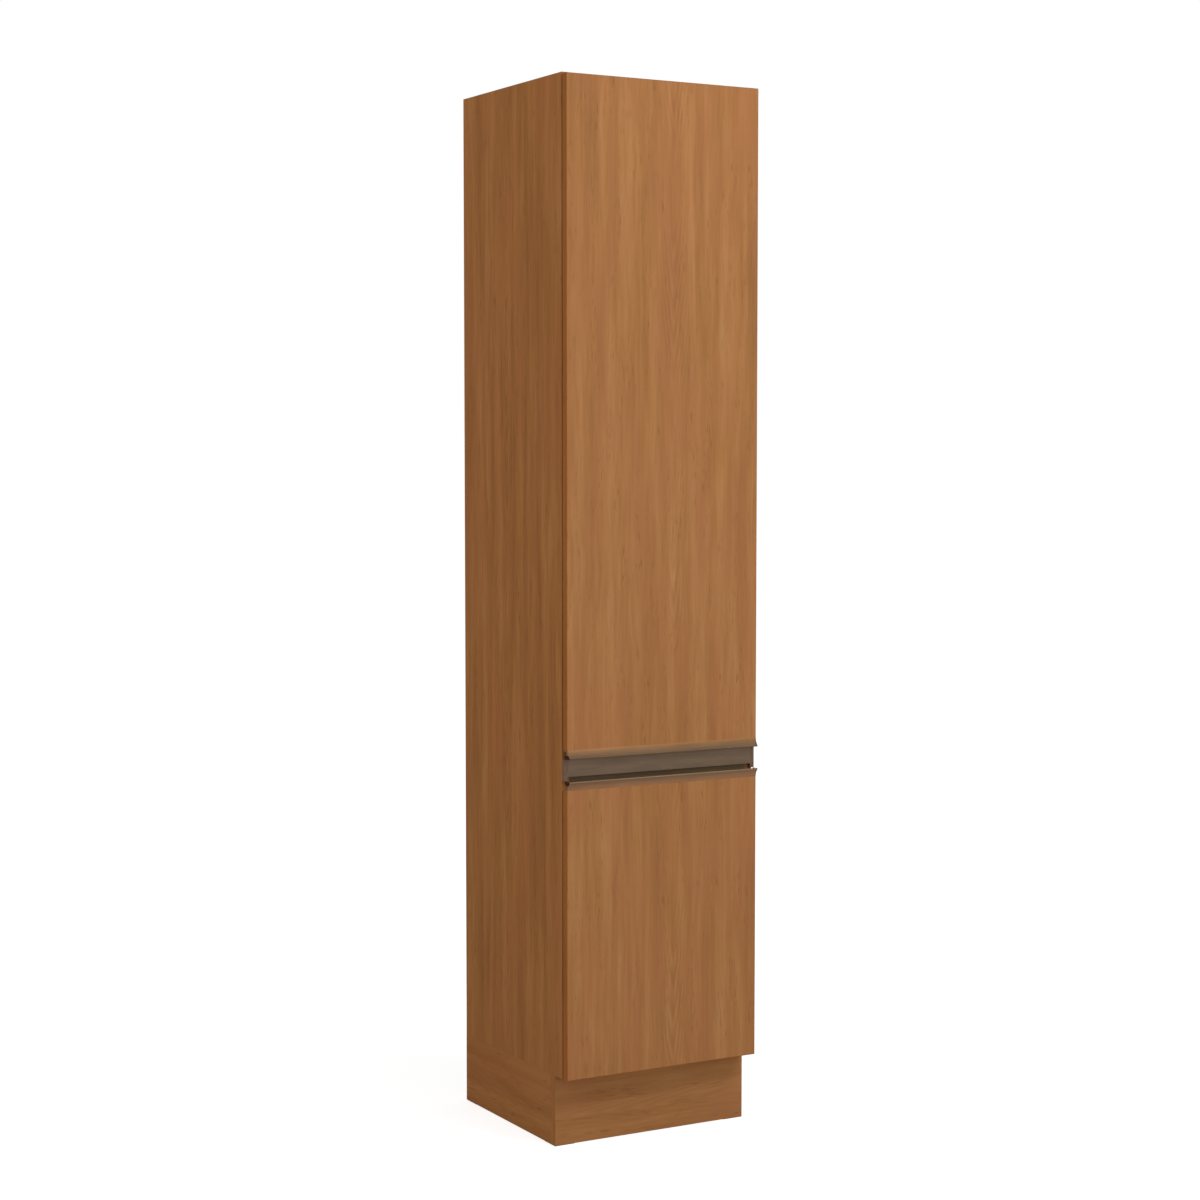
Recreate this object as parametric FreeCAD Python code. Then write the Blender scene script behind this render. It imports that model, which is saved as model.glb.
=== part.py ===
import FreeCAD, Part
import math
import os

# A free-standing broom cupboard of laminated chipboard: a tall carcass on a separate plinth
# frame, a long upper door and a short lower door on concealed hinges, and a recessed grip
# between the doors. Millimetres. +Z is up and the doors face -Y. The origin is at floor
# level, under the middle of the whole object.

# ---------------------------------------------------------------- driving dimensions
width = 400.0
height = 1915.0
carcass_depth = 388.0
board = 15.0
fit_gap = 0.1               # loose fit of a peg, tongue or screw in its hole or groove
touch_gap = 0.3             # space left where a piece lies against its neighbour

plinth_height = 130.0
plinth_setback = 28.0       # plinth front behind the carcass front
glide_thickness = 1.0

door_gap = 2.0              # space between the carcass front and the backs of the doors
door_side_inset = 1.0
door_top_inset = 3.0
grip_centre = 688.0         # middle of the finger recess between the doors
grip_opening = 40.0         # lip to lip
lip_height = 16.0
lip_reach = 6.0             # how far the grip lips stand in front of the doors
lip_thickness = 3.0
grip_web = 1.5
grip_web_depth = 12.0
end_cap_thickness = 2.0
end_cap_web = 3.0
end_cap_depth = 7.5         # how far the end cap's nose reaches behind the door front
end_cap_nose = 7.0          # the nose's height up to the lip's edge

tongue_thickness = 2.4
tongue_length = 9.0
tongue_depth = 7.0          # tongue's middle behind the door front

cover_face_depth = 8.5      # front of the recess cover, behind the door front
cover_bottom_gap = 7.0      # from the lower lip up to the recess cover
cover_top_gap = 1.0         # from the recess cover up to the upper lip
cover_wall = 1.5
cover_cap_width = 8.0
cover_cap_overhang = 7.0    # how far the cover's end caps hang below it

rail_height = 70.0
rail_joint_spacing = 40.0   # from the rail's cam down to its dowel
shelf_setback = 22.0
hat_shelf_drop = 370.0      # underside of the hat shelf below the cupboard's top
loose_shelf_rise = 185.0    # adjustable shelf above the hat shelf
shelf_side_gap = 1.0

back_thickness = 3.0
back_inset = 12.0           # rear face of the back panels, in front of the carcass rear
groove_depth = 8.0
back_joint_height = 1020.0
joint_strip_width = 20.0
joint_strip_skin = 0.8
joint_strip_web = 2.0

cam_radius = 7.4
cam_height = 12.0
cam_edge_distance = 24.0
cam_bolt_radius = 3.0
cam_bolt_head = 3.4
cam_bolt_grip = 11.0        # length screwed into the side panel
cam_front_distance = 70.0
cam_rear_distance = 60.0
cam_cap_radius = 8.5
cam_cap_thickness = 1.2
dowel_radius = 4.0
dowel_length = 30.0
dowel_grip = 10.0

shelf_pin_radius = 2.5
shelf_pin_grip = 9.0
shelf_pin_reach = 8.0
shelf_pin_block = 7.0
shelf_hole_pitch = 32.0
shelf_pin_front = 60.0
shelf_pin_rear = 40.0

block_size = 22.0
block_height = 100.0
block_screw_length = 30.0
block_side_screw_rise = 30.0    # above the underside of the corner block
block_end_screw_rise = 50.0
fixing_screw_length = 40.0
screw_radius = 1.75
screw_head_radius = 3.5
glide_arm = 40.0
glide_width = 13.0
glide_peg_radius = 2.0
glide_peg_length = 10.0

hook_count = 3
hook_drop = 115.0           # middle of the tool hooks below the hat shelf
hook_plate_width = 20.0
hook_plate_height = 50.0
hook_plate_thickness = 2.0
hook_rod_radius = 2.5
hook_knob_radius = 3.75
hook_reach = 30.0
hook_bend = 10.0
hook_screw_spacing = 34.0
hook_screw_length = 12.0

bracket_leg = 30.0
bracket_width = 60.0
bracket_thickness = 2.0
bracket_screw_spacing = 40.0
bracket_screw_length = 13.0
wall_hole_radius = 3.0
wall_hole_drop = 18.0
back_hole_radius = 6.0

bumper_radius = 4.0
bumper_corner_distance = 35.0

upper_hinge_count = 3
lower_hinge_count = 2
hinge_end_distance = 90.0
cup_radius = 17.5
cup_depth = 11.5
cup_edge_distance = 4.0
cup_wall = 1.0
cup_floor = 0.8
cup_flange = 1.2
cup_flange_height = 54.0
cup_notch = 3.0             # depth of the notch in the cup's rim that the links swing through
cup_flange_inner = 15.5     # cup's middle to the flange's edge towards the door's middle
cup_flange_outer = 7.0      # cup's middle to the flange's edge towards the door's side
cup_screw_spacing = 45.0
cup_screw_offset = 9.5
cup_screw_length = 11.0

# Hinge pivots, seen from above: distance from the cup's middle towards the middle of the
# door, then distance behind the door's rear face.
outer_arm_pivot = (10.5, 9.8)
outer_cup_pivot = (-11.0, -3.2)
outer_knee = (5.9, -6.8)
inner_arm_pivot = (7.5, -7.0)
inner_cup_pivot = (-7.8, -6.5)
pin_radius = 1.2
pin_fit = 0.05
open_pin_fit = 1.4          # clearance of the inner link on its cup pin
link_half_width = 2.5
inner_link_half_height = 4.3
hinge_sheet = 1.0
outer_link_sheet = 1.2
sheet_gap = 0.45
arm_height = 21.6           # hinge arm's cover above the side panel
arm_rear = 59.0             # rear end of the hinge arm behind the carcass front
arm_pivot_radius = 3.6
arm_nose_radius = 3.0
arm_cheek_depth = 9.6       # arm cheek beyond the outer pivot, towards the side panel
arm_screw_inset = 8.0
plate_screw_setback = 37.0
plate_screw_spacing = 32.0
plate_screw_margin = 7.0    # from the plate screw's middle to the end of the wing
plate_wing_depth = 16.0
plate_block_setback = 25.0
plate_thickness = 2.0
hinge_screw_length = 12.0

# ---------------------------------------------------------------- derived places
half_width = width / 2
inner_half = half_width - board
overall_depth = lip_reach + board + door_gap + carcass_depth
door_front = -overall_depth / 2 + lip_reach
door_back = door_front + board
carcass_front = door_back + door_gap
carcass_rear = carcass_front + carcass_depth
hat_shelf_height = height - hat_shelf_drop
loose_shelf_height = hat_shelf_height + loose_shelf_rise
hook_height = hat_shelf_height - hook_drop
lower_lip_tip = grip_centre - grip_opening / 2
upper_lip_tip = grip_centre + grip_opening / 2
lower_door_top = lower_lip_tip - lip_height
upper_door_bottom = upper_lip_tip + lip_height
door_half = half_width - door_side_inset
back_rear = carcass_rear - back_inset
back_front = back_rear - back_thickness
floor_top = plinth_height + board
ceiling = height - board
shelf_front = carcass_front + shelf_setback
shelf_rear = back_front - touch_gap
rail_rear = carcass_front + board
plinth_front_face = carcass_front + plinth_setback
plinth_front_rear = plinth_front_face + board
plinth_back_face = carcass_rear - board
cup_x = door_half - cup_edge_distance - cup_radius

os.makedirs("parts", exist_ok=True)


# ---------------------------------------------------------------- small helpers
def box(x0, x1, y0, y1, z0, z1):
    return Part.makeBox(x1 - x0, y1 - y0, z1 - z0, FreeCAD.Vector(x0, y0, z0))


def rod(start, direction, radius, length):
    return Part.makeCylinder(radius, length, FreeCAD.Vector(*start), FreeCAD.Vector(*direction))


def save(node, solids):
    shape = solids[0] if len(solids) == 1 else Part.makeCompound(solids)
    shape.exportStep("parts/" + node + ".step")


def extrude_x(points, x0, x1):
    """A solid whose outline lies across X. Each point is (y, z); a pair of points is an arc's
    middle and end."""
    vectors = []
    edges = []
    for point in points:
        if len(point) == 2:
            vectors.append(FreeCAD.Vector(x0, *point))
            if len(vectors) > 1:
                edges.append(Part.LineSegment(vectors[-2], vectors[-1]).toShape())
        else:
            middle = FreeCAD.Vector(x0, point[0], point[1])
            vectors.append(FreeCAD.Vector(x0, point[2], point[3]))
            edges.append(Part.Arc(vectors[-2], middle, vectors[-1]).toShape())
    edges.append(Part.LineSegment(vectors[-1], vectors[0]).toShape())
    face = Part.Face(Part.Wire(edges))
    return face.extrude(FreeCAD.Vector(x1 - x0, 0, 0))


def screw(head, direction, length, radius=screw_radius, head_radius=screw_head_radius):
    """A countersunk screw whose flat head lies at the point head."""
    sink = head_radius - radius
    cone = Part.makeCone(head_radius, radius, sink, FreeCAD.Vector(*head), FreeCAD.Vector(*direction))
    return cone.fuse(rod(head, direction, radius, length)).removeSplitter()


def screw_hole(head, direction, length):
    return screw(head, direction, length + fit_gap, screw_radius + fit_gap,
                 screw_head_radius + fit_gap)


def spread(low, high, count):
    step = (high - low) / (count - 1)
    return [low + step * index for index in range(count)]


# ---------------------------------------------------------------- corner joints of the carcass
# Each board between the sides is held by cam fittings: a bolt screwed into the side panel
# enters the board's end and a cam housing in the board's face pulls it tight. A glued
# beech dowel beside them keeps the board in line.
cam_housings = []
cam_bolts = []
cam_caps = []
dowels = []
side_cuts = []


def corner_joints(bottom, cam_places, dowel_place, cams_from_top=False, capped=False, upright=False):
    """Adds the fittings of one board and returns the holes to cut in that board. They are laid
    out for a level board; an upright one's are turned a quarter about X, its rear face down."""
    def fitting(*sizes):
        piece = rod(*sizes)
        if upright:
            piece.rotate(FreeCAD.Vector(0, 0, 0), FreeCAD.Vector(1, 0, 0), 90)
        return piece

    cuts = []
    axis_height = bottom + board / 2
    face = bottom + board if cams_from_top else bottom
    inward = -1 if cams_from_top else 1
    for side in (-1, 1):
        for place in cam_places:
            cam_x = side * (inner_half - cam_edge_distance)
            housing = fitting((cam_x, place, face), (0, 0, inward), cam_radius, cam_height)
            bolt_start = side * (inner_half + cam_bolt_grip)
            bolt_length = cam_bolt_grip + cam_edge_distance
            bolt = fitting((bolt_start, place, axis_height), (-side, 0, 0), cam_bolt_radius, bolt_length)
            head_length = cam_bolt_radius
            head = fitting((cam_x, place, axis_height), (side, 0, 0), cam_bolt_head, head_length)
            channel = fitting((cam_x - side * fit_gap, place, axis_height), (side, 0, 0),
                              cam_bolt_head + fit_gap, cam_edge_distance + fit_gap)
            cam_housings.append(housing.cut(channel))
            cam_bolts.append(bolt.fuse(head).removeSplitter())
            seat = fitting((cam_x, place, face), (0, 0, inward), cam_radius + fit_gap,
                           cam_height + fit_gap)
            cuts.extend([seat, channel])
            side_cuts.append(fitting((bolt_start + side * fit_gap, place, axis_height),
                                     (-side, 0, 0), cam_bolt_radius + fit_gap,
                                     cam_bolt_grip + 2 * fit_gap))
            if capped:
                cam_caps.append(fitting((cam_x, place, bottom - cam_cap_thickness), (0, 0, 1),
                                        cam_cap_radius, cam_cap_thickness))
        start = side * (inner_half + dowel_grip)
        dowels.append(fitting((start, dowel_place, axis_height), (-side, 0, 0), dowel_radius,
                              dowel_length))
        hole = fitting((start + side * fit_gap, dowel_place, axis_height), (-side, 0, 0),
                       dowel_radius + fit_gap, dowel_length + 2 * fit_gap)
        cuts.append(hole)
        side_cuts.append(hole)
    return cuts


front_cam = carcass_front + cam_front_distance
rear_cam = carcass_rear - cam_rear_distance
middle_place = (front_cam + rear_cam) / 2
back_groove = [back_front - fit_gap, back_rear + fit_gap]

# ---------------------------------------------------------------- top, bottom and shelves
groove = box(-inner_half, inner_half, *back_groove, ceiling, ceiling + groove_depth)
top_cuts = corner_joints(ceiling, (front_cam, rear_cam), middle_place, cams_from_top=True)
bracket_screws = []
bracket_y = back_front - bracket_leg / 2
for side in (-1, 1):
    place = (side * bracket_screw_spacing / 2, bracket_y, ceiling - bracket_thickness)
    bracket_screws.append(screw(place, (0, 0, 1), bracket_screw_length))
    top_cuts.append(screw_hole(place, (0, 0, 1), bracket_screw_length))
top_panel = box(-inner_half, inner_half, carcass_front, carcass_rear, ceiling, height)
save("top_panel", [top_panel.cut([groove] + top_cuts)])

groove = box(-inner_half, inner_half, *back_groove, floor_top - groove_depth, floor_top)
bottom_cuts = corner_joints(plinth_height, (front_cam, rear_cam), middle_place)
block_x = inner_half - block_size / 2
block_rows = (plinth_front_rear + block_size / 2, plinth_back_face - block_size / 2)
fixing_screws = []
fixing_holes = []
for side in (-1, 1):
    for row in block_rows:
        place = (side * block_x, row, floor_top)
        fixing_screws.append(screw(place, (0, 0, -1), fixing_screw_length))
        fixing_holes.append(screw_hole(place, (0, 0, -1), fixing_screw_length))
bottom_panel = box(-inner_half, inner_half, carcass_front, carcass_rear, plinth_height, floor_top)
save("bottom_panel", [bottom_panel.cut([groove] + bottom_cuts + fixing_holes)])
save("plinth_fixing_screws", fixing_screws)

hat_cuts = corner_joints(hat_shelf_height, (front_cam, rear_cam), middle_place, capped=True)
hat_shelf = box(-inner_half, inner_half, shelf_front, shelf_rear, hat_shelf_height,
                hat_shelf_height + board)
save("hat_shelf", [hat_shelf.cut(hat_cuts)])

shelf_half = inner_half - shelf_side_gap
loose_shelf = box(-shelf_half, shelf_half, shelf_front, shelf_rear, loose_shelf_height,
                  loose_shelf_height + board)
save("adjustable_shelf", [loose_shelf])

# The upright rail behind the finger recess ties the sides together and carries the recess
# cover.
rail_cuts = corner_joints(-rail_rear, (grip_centre + rail_joint_spacing / 2,),
                          grip_centre - rail_joint_spacing / 2, capped=True, upright=True)
rail_groove = box(-inner_half, inner_half, carcass_front, carcass_front + tongue_length + fit_gap,
                  grip_centre - tongue_thickness / 2 - fit_gap,
                  grip_centre + tongue_thickness / 2 + fit_gap)
rail = box(-inner_half, inner_half, carcass_front, rail_rear, grip_centre - rail_height / 2,
           grip_centre + rail_height / 2)
save("handle_rail", [rail.cut([rail_groove] + rail_cuts)])

save("cam_housings", cam_housings)
save("cam_bolts", cam_bolts)
save("cam_cover_caps", cam_caps)
save("dowels", dowels)

# ---------------------------------------------------------------- shelf pins and their holes
shelf_pins = []
pin_rows = (shelf_front + shelf_pin_front, shelf_rear - shelf_pin_rear)
pin_height = loose_shelf_height - shelf_pin_block / 2
for side in (-1, 1):
    for row in pin_rows:
        outer_end = side * (inner_half + shelf_pin_grip)
        shank = rod((outer_end, row, pin_height), (-side, 0, 0), shelf_pin_radius, shelf_pin_grip)
        near = side * (inner_half - shelf_pin_reach)
        block = box(min(near, side * inner_half), max(near, side * inner_half),
                    row - shelf_pin_block / 2, row + shelf_pin_block / 2,
                    loose_shelf_height - shelf_pin_block, loose_shelf_height)
        shelf_pins.append(shank.fuse(block).removeSplitter())
        for step in (-1, 0, 1):
            hole_height = pin_height + step * shelf_hole_pitch
            side_cuts.append(rod((outer_end + side * fit_gap, row, hole_height), (-side, 0, 0),
                                 shelf_pin_radius + fit_gap, shelf_pin_grip + 2 * fit_gap))
save("shelf_pins", shelf_pins)

# ---------------------------------------------------------------- tool hooks on the left side
hooks = []
hook_screws = []
hook_places = spread(shelf_front + hook_plate_height, shelf_rear - hook_plate_height, hook_count)
hook_face = -inner_half + hook_plate_thickness
for place in hook_places:
    plate = box(-inner_half, hook_face, place - hook_plate_width / 2, place + hook_plate_width / 2,
                hook_height - hook_plate_height / 2, hook_height + hook_plate_height / 2)
    bend_start = FreeCAD.Vector(hook_face + hook_reach - hook_bend, place, hook_height)
    bend_end = FreeCAD.Vector(hook_face + hook_reach, place, hook_height + hook_bend)
    slant = hook_bend * math.sin(math.radians(45))
    bend_middle = FreeCAD.Vector(bend_start.x + slant, place, bend_end.z - slant)
    tip = bend_end + FreeCAD.Vector(0, 0, hook_bend)
    path = Part.Wire([
        Part.LineSegment(FreeCAD.Vector(hook_face, place, hook_height), bend_start).toShape(),
        Part.Arc(bend_start, bend_middle, bend_end).toShape(),
        Part.LineSegment(bend_end, tip).toShape(),
    ])
    ring = Part.Wire(Part.makeCircle(hook_rod_radius, path.Vertexes[0].Point, FreeCAD.Vector(1, 0, 0)))
    wire_hook = path.makePipeShell([ring], True, False)
    knob = Part.makeSphere(hook_knob_radius, tip)
    hook = plate.fuse([wire_hook, knob])
    for step in (-1, 1):
        head = (hook_face, place, hook_height + step * hook_screw_spacing / 2)
        hook = hook.cut(screw_hole(head, (-1, 0, 0), hook_screw_length))
        side_cuts.append(screw_hole(head, (-1, 0, 0), hook_screw_length))
        hook_screws.append(screw(head, (-1, 0, 0), hook_screw_length))
    hooks.append(hook.removeSplitter())
save("tool_hooks", hooks)
save("tool_hook_screws", hook_screws)

# ---------------------------------------------------------------- back panels and their strip
back_half = inner_half + groove_depth - touch_gap
web_half = joint_strip_web / 2
lower_back = box(-back_half, back_half, back_front, back_rear,
                 floor_top - groove_depth + touch_gap, back_joint_height - web_half - touch_gap)
upper_back = box(-back_half, back_half, back_front, back_rear,
                 back_joint_height + web_half + touch_gap, ceiling + groove_depth - touch_gap)
wall_hole_height = ceiling - wall_hole_drop
wall_hole = rod((0, back_front - bracket_leg, wall_hole_height), (0, 1, 0), back_hole_radius,
                2 * bracket_leg)
save("back_panel_lower", [lower_back])
save("back_panel_upper", [upper_back.cut(wall_hole)])

strip_half = inner_half - touch_gap
strip_low = back_joint_height - joint_strip_width / 2
strip_high = back_joint_height + joint_strip_width / 2
front_skin = back_front - fit_gap - joint_strip_skin
rear_skin = back_rear + fit_gap
strip = box(-strip_half, strip_half, front_skin, front_skin + joint_strip_skin, strip_low, strip_high)
strip = strip.fuse([
    box(-strip_half, strip_half, rear_skin, rear_skin + joint_strip_skin, strip_low, strip_high),
    box(-strip_half, strip_half, front_skin, rear_skin + joint_strip_skin,
        back_joint_height - web_half, back_joint_height + web_half),
])
save("back_joining_strip", [strip.removeSplitter()])

# ---------------------------------------------------------------- wall bracket under the top
bracket_rear = back_front - touch_gap
bracket = box(-bracket_width / 2, bracket_width / 2, bracket_rear - bracket_leg, bracket_rear,
              ceiling - bracket_thickness, ceiling)
bracket = bracket.fuse(box(-bracket_width / 2, bracket_width / 2, bracket_rear - bracket_thickness,
                           bracket_rear, ceiling - bracket_leg, ceiling)).removeSplitter()
bolt_hole = rod((0, bracket_rear - bracket_leg, wall_hole_height), (0, 1, 0), wall_hole_radius,
                2 * bracket_leg)
bracket_cuts = [bolt_hole]
for side in (-1, 1):
    bracket_cuts.append(screw_hole((side * bracket_screw_spacing / 2, bracket_y,
                                    ceiling - bracket_thickness), (0, 0, 1), bracket_screw_length))
save("wall_bracket", [bracket.cut(bracket_cuts)])
save("wall_bracket_screws", bracket_screws)

# ---------------------------------------------------------------- plinth frame
blocks = []
block_screws = []
plinth_cuts = []
block_low = plinth_height - block_height
for side in (-1, 1):
    for row, outward in zip(block_rows, (-1, 1)):
        x_in = side * (inner_half - block_size)
        x_out = side * inner_half
        block = box(min(x_in, x_out), max(x_in, x_out), row - block_size / 2, row + block_size / 2,
                    block_low, plinth_height)
        side_head = (x_in, row, block_low + block_side_screw_rise)
        end_head = (side * block_x, row - outward * block_size / 2, block_low + block_end_screw_rise)
        for head, direction in ((side_head, (side, 0, 0)), (end_head, (0, outward, 0))):
            block_screws.append(screw(head, direction, block_screw_length))
            plinth_cuts.append(screw_hole(head, direction, block_screw_length))
        blocks.append(block)
blocks = [block.cut(plinth_cuts + fixing_holes) for block in blocks]
save("plinth_blocks", blocks)
save("plinth_block_screws", block_screws)

glides = []
glide_inset = (board - glide_width) / 2
for side in (-1, 1):
    for corner, inward in ((plinth_front_face, 1), (carcass_rear, -1)):
        x_out = side * (half_width - glide_inset)
        y_out = corner + inward * glide_inset
        long_x = x_out - side * glide_arm
        short_x = x_out - side * glide_width
        long_y = y_out + inward * glide_arm
        short_y = y_out + inward * glide_width
        arm_one = box(min(x_out, long_x), max(x_out, long_x), min(y_out, short_y),
                      max(y_out, short_y), 0, glide_thickness)
        arm_two = box(min(x_out, short_x), max(x_out, short_x), min(y_out, long_y),
                      max(y_out, long_y), 0, glide_thickness)
        peg_x = x_out - side * (glide_arm - glide_width / 2)
        peg_y = y_out + inward * (glide_arm - glide_width / 2)
        middle_x = x_out - side * glide_width / 2
        middle_y = y_out + inward * glide_width / 2
        pegs = []
        for place in ((peg_x, middle_y), (middle_x, peg_y)):
            pegs.append(rod((*place, 0), (0, 0, 1), glide_peg_radius,
                            glide_thickness + glide_peg_length))
            plinth_cuts.append(rod((*place, 0), (0, 0, 1), glide_peg_radius + fit_gap,
                                   glide_thickness + glide_peg_length + fit_gap))
        glides.append(arm_one.fuse([arm_two] + pegs).removeSplitter())
save("floor_glides", glides)

plinth_boards = {
    "plinth_front": (-half_width, half_width, plinth_front_face, plinth_front_rear),
    "plinth_back": (-inner_half, inner_half, plinth_back_face, carcass_rear),
    "plinth_left": (-half_width, -inner_half, plinth_front_rear, carcass_rear),
    "plinth_right": (inner_half, half_width, plinth_front_rear, carcass_rear),
}
for node, sides in plinth_boards.items():
    save(node, [box(*sides, glide_thickness, plinth_height).cut(plinth_cuts)])


# ---------------------------------------------------------------- concealed hinges
# Seen from above each hinge is a four-bar linkage: an arm on the side panel, a cup in the
# door, a long outer link bent round the front edge of the side panel, and a short inner link.
def hinge_point(pivot, height_here):
    return FreeCAD.Vector(cup_x - pivot[0], door_back + pivot[1], height_here)


def strap(pivots, radii, low, high):
    """A flat bar with round ends along a line of pivots, from one height to another."""
    bar = None
    for first, second, r_first, r_second in zip(pivots, pivots[1:], radii, radii[1:]):
        start = hinge_point(first, low)
        end = hinge_point(second, low)
        along = (end - start).normalize()
        across = FreeCAD.Vector(-along.y, along.x, 0)
        corners = [start + across * r_first, end + across * r_second,
                   end - across * r_second, start - across * r_first]
        face = Part.Face(Part.makePolygon(corners + corners[:1]))
        pieces = [face.extrude(FreeCAD.Vector(0, 0, high - low)),
                  Part.makeCylinder(r_first, high - low, start),
                  Part.makeCylinder(r_second, high - low, end)]
        bar = pieces[0].fuse(pieces[1:]) if bar is None else bar.fuse(pieces)
    return bar.removeSplitter()


def pivot_hole(pivot, level, reach, clearance):
    start = hinge_point(pivot, level - reach)
    return Part.makeCylinder(pin_radius + clearance, 2 * reach, start)


def pivot_pin(pivot, low, high):
    return Part.makeCylinder(pin_radius, high - low, hinge_point(pivot, low))


arm_sheet_low = inner_link_half_height + sheet_gap
arm_sheet_high = arm_sheet_low + hinge_sheet
outer_low = arm_sheet_high + sheet_gap
outer_high = outer_low + outer_link_sheet
cup_ear_low = outer_high + sheet_gap
cup_ear_high = cup_ear_low + hinge_sheet
arm_cover_x = inner_half - arm_height
plate_screw_y = carcass_front + plate_screw_setback
arm_rear_y = carcass_front + arm_rear
plate_half = plate_screw_spacing / 2 + plate_screw_margin
wing_half = plate_wing_depth / 2
cup_screw_x = cup_x - cup_screw_offset

hinge_plates = []
hinge_arms = []
plate_screws = []
arm_screws = []
arm_pins = []


def mirrored_heights(level, low, high):
    return ((level + low, level + high), (level - high, level - low))


def hinge_on_carcass(level):
    cheeks = []
    first, second = outer_arm_pivot, inner_arm_pivot
    for low, high in mirrored_heights(level, arm_sheet_low, arm_sheet_high):
        nose = strap((first, second), (arm_pivot_radius, arm_nose_radius), low, high)
        body = box(arm_cover_x, hinge_point(first, 0).x + arm_cheek_depth,
                   hinge_point(first, 0).y, arm_rear_y, low, high)
        cheeks.append(nose.fuse(body))
    cover = box(arm_cover_x, arm_cover_x + outer_link_sheet,
                hinge_point(first, 0).y + arm_pivot_radius, arm_rear_y,
                level - arm_sheet_high, level + arm_sheet_high)
    arm = cover.fuse(cheeks).removeSplitter()
    arm = arm.cut([pivot_hole(first, level, cup_radius, pin_fit),
                   pivot_hole(second, level, cup_radius, pin_fit)])
    block_front = carcass_front + plate_block_setback
    saddle = box(arm_cover_x + outer_link_sheet, inner_half - plate_thickness, block_front, arm_rear_y,
                 level - inner_link_half_height, level + inner_link_half_height)
    wings = box(inner_half - plate_thickness, inner_half, plate_screw_y - wing_half,
                plate_screw_y + wing_half, level - plate_half, level + plate_half)
    foot = box(inner_half - plate_thickness, inner_half, block_front, arm_rear_y,
               level - inner_link_half_height, level + inner_link_half_height)
    plate = saddle.fuse([wings, foot]).removeSplitter()
    for step in (-1, 1):
        head = (inner_half - plate_thickness, plate_screw_y, level + step * plate_screw_spacing / 2)
        plate_screws.append(screw(head, (1, 0, 0), hinge_screw_length))
        hole = screw_hole(head, (1, 0, 0), hinge_screw_length)
        plate = plate.cut(hole)
        side_cuts.append(hole)
    head = (arm_cover_x, arm_rear_y - arm_screw_inset, level)
    hole = screw_hole(head, (1, 0, 0), hinge_screw_length)
    arm_screws.append(screw(head, (1, 0, 0), hinge_screw_length))
    hinge_plates.append(plate.cut(hole))
    hinge_arms.append(arm.cut(hole))
    arm_pins.append(pivot_pin(first, level - cup_ear_low, level + cup_ear_low))
    arm_pins.append(pivot_pin(second, level - arm_sheet_high, level + arm_sheet_high))


def hinge_on_door(level):
    """Returns the cup, its pins, its screws and the cuts for the door board."""
    axis = (0, -1, 0)
    middle = (cup_x, door_back, level)
    inner_radius = cup_radius - cup_wall
    pot = rod(middle, axis, cup_radius - fit_gap, cup_depth)
    flange = box(cup_x - cup_flange_inner, cup_x + cup_flange_outer, door_back, door_back + cup_flange,
                 level - cup_flange_height / 2, level + cup_flange_height / 2)
    hollow = rod((cup_x, door_back + 2 * cup_flange, level), axis, inner_radius,
                 cup_depth - cup_floor + 2 * cup_flange)
    notch = box(cup_x + cup_radius - cup_wall - cup_notch, cup_x + cup_radius, door_back - cup_notch,
                door_back, level - cup_ear_low, level + cup_ear_low)
    cup = pot.fuse(flange).cut([hollow, notch])
    floor_y = door_back - cup_depth + cup_floor / 2
    ears = []
    for pivot, sheets in ((inner_cup_pivot, (arm_sheet_low, arm_sheet_high)),
                          (outer_cup_pivot, (cup_ear_low, cup_ear_high))):
        for low, high in mirrored_heights(level, *sheets):
            point = hinge_point(pivot, low)
            eye = Part.makeCylinder(link_half_width, high - low, point)
            post = box(point.x - link_half_width, point.x + link_half_width, floor_y, point.y,
                       low, high)
            ears.append(eye.fuse(post))
    cup = cup.fuse(ears).removeSplitter()
    cup = cup.cut([pivot_hole(inner_cup_pivot, level, arm_sheet_high + sheet_gap / 2, pin_fit),
                   pivot_hole(outer_cup_pivot, level, cup_ear_high, pin_fit)])
    pins = [pivot_pin(inner_cup_pivot, level - arm_sheet_high, level + arm_sheet_high)]
    for low, high in mirrored_heights(level, outer_low - sheet_gap / 2, cup_ear_high):
        pins.append(pivot_pin(outer_cup_pivot, low, high))
    screws = []
    cuts = [rod(middle, axis, cup_radius, cup_depth + touch_gap)]
    for step in (-1, 1):
        head = (cup_screw_x, door_back + cup_flange, level + step * cup_screw_spacing / 2)
        screws.append(screw(head, axis, cup_screw_length))
        hole = screw_hole(head, axis, cup_screw_length)
        cup = cup.cut(hole)
        cuts.append(hole)
    return cup, pins, screws, cuts


def hinge_links(level):
    outer = []
    for low, high in mirrored_heights(level, outer_low, outer_high):
        bar = strap((outer_arm_pivot, outer_knee, outer_cup_pivot), (link_half_width,) * 3, low, high)
        outer.append(bar.cut([pivot_hole(outer_arm_pivot, level, cup_radius, pin_fit),
                              pivot_hole(outer_cup_pivot, level, cup_radius, pin_fit)]))
    eye_radius = pin_radius + open_pin_fit + hinge_sheet
    inner = strap((inner_arm_pivot, inner_cup_pivot), (link_half_width, eye_radius),
                  level - inner_link_half_height, level + inner_link_half_height)
    inner = inner.cut([pivot_hole(inner_arm_pivot, level, cup_radius, pin_fit),
                       pivot_hole(inner_cup_pivot, level, cup_radius, open_pin_fit)])
    return outer, inner


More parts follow.
